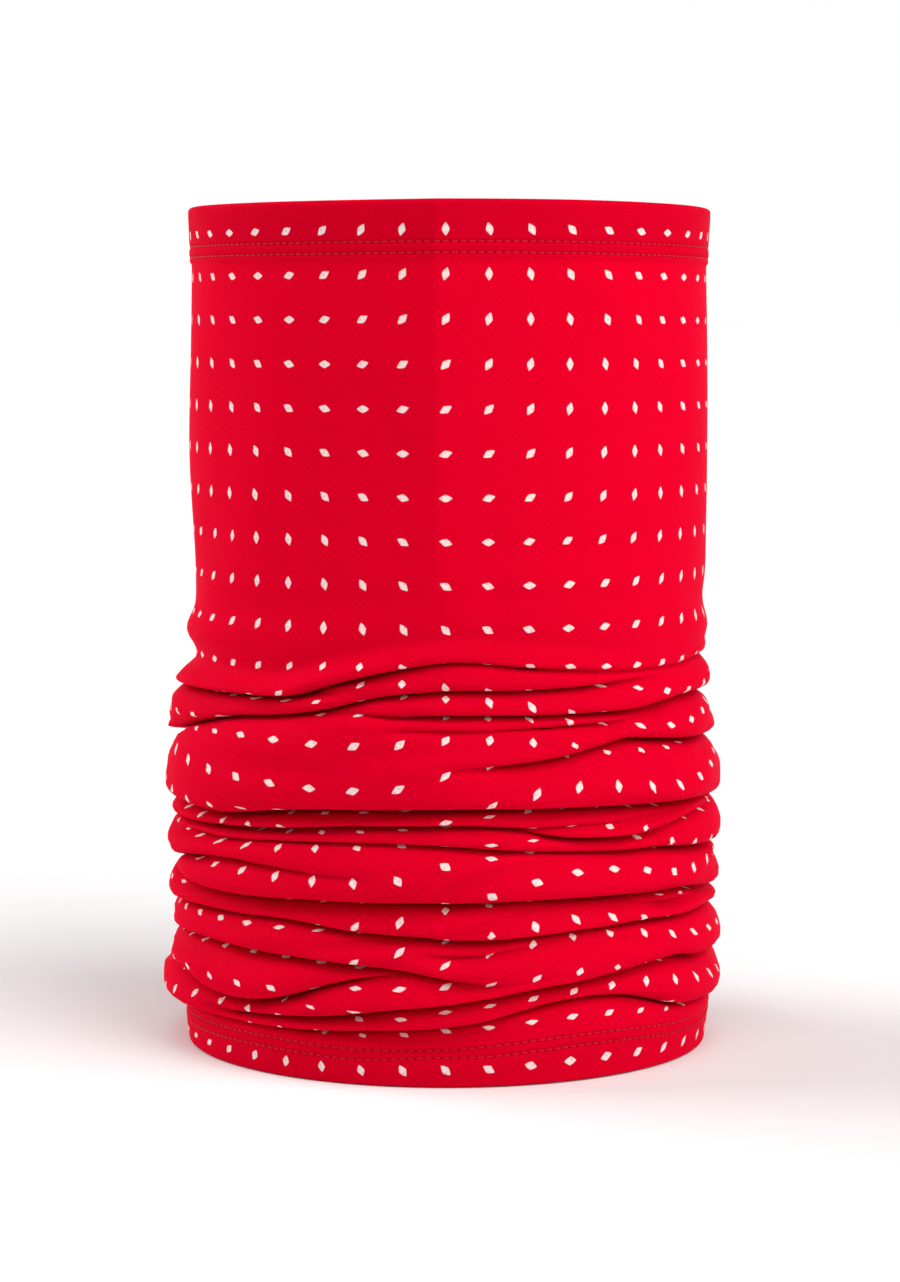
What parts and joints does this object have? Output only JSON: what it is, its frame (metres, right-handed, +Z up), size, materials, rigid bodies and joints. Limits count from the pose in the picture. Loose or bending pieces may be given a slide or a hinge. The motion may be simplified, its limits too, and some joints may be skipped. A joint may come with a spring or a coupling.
{
  "type": "neck gaiter",
  "caption": "Stretch knit neck tube for skiing, smooth above and gathered into ring folds below, with turned, coverstitched hems and a flatlock back seam.",
  "frame": {"origin": "centre of the tube at its bottom edge, where it stands", "axes": "+Z up the tube, -Y its front, +Y its back seam"},
  "size_m": [0.1694, 0.1702, 0.256],
  "materials": {
    "red_knit": "bright red polyester micro-mesh knit, matt with a faint sparkle, printed with small pale lozenges",
    "red_thread": "red polyester sewing thread, slightly glossy",
    "label_satin": "blank white woven satin ribbon"
  },
  "bodies": {
    "lower": {"bottom_hem": "red_knit", "gathered_panel": "red_knit", "bottom_hem_edge_needle_thread": "red_thread", "bottom_hem_inner_needle_thread": "red_thread", "bottom_hem_looper_thread": "red_thread", "gathered_seam_left_needle_thread": "red_thread", "gathered_seam_right_needle_thread": "red_thread", "gathered_seam_cover_thread": "red_thread", "gathered_seam_looper_thread": "red_thread"},
    "upper": {"upper_panel": "red_knit", "top_hem_edge_needle_thread": "red_thread", "top_hem_inner_needle_thread": "red_thread", "top_hem_looper_thread": "red_thread", "upper_seam_left_needle_thread": "red_thread", "upper_seam_right_needle_thread": "red_thread", "upper_seam_cover_thread": "red_thread", "upper_seam_looper_thread": "red_thread", "care_label": "label_satin", "care_label_tack_thread": "red_thread"}
  },
  "joints": [
    {"name": "pull_up", "type": "slide", "parent": "lower", "child": "upper", "axis": [0, 0, 1], "range_m": [-0.045, 0.17], "deforming": ["gathered_panel", "gathered_seam_left_needle_thread", "gathered_seam_right_needle_thread", "gathered_seam_cover_thread", "gathered_seam_looper_thread"]}
  ]
}
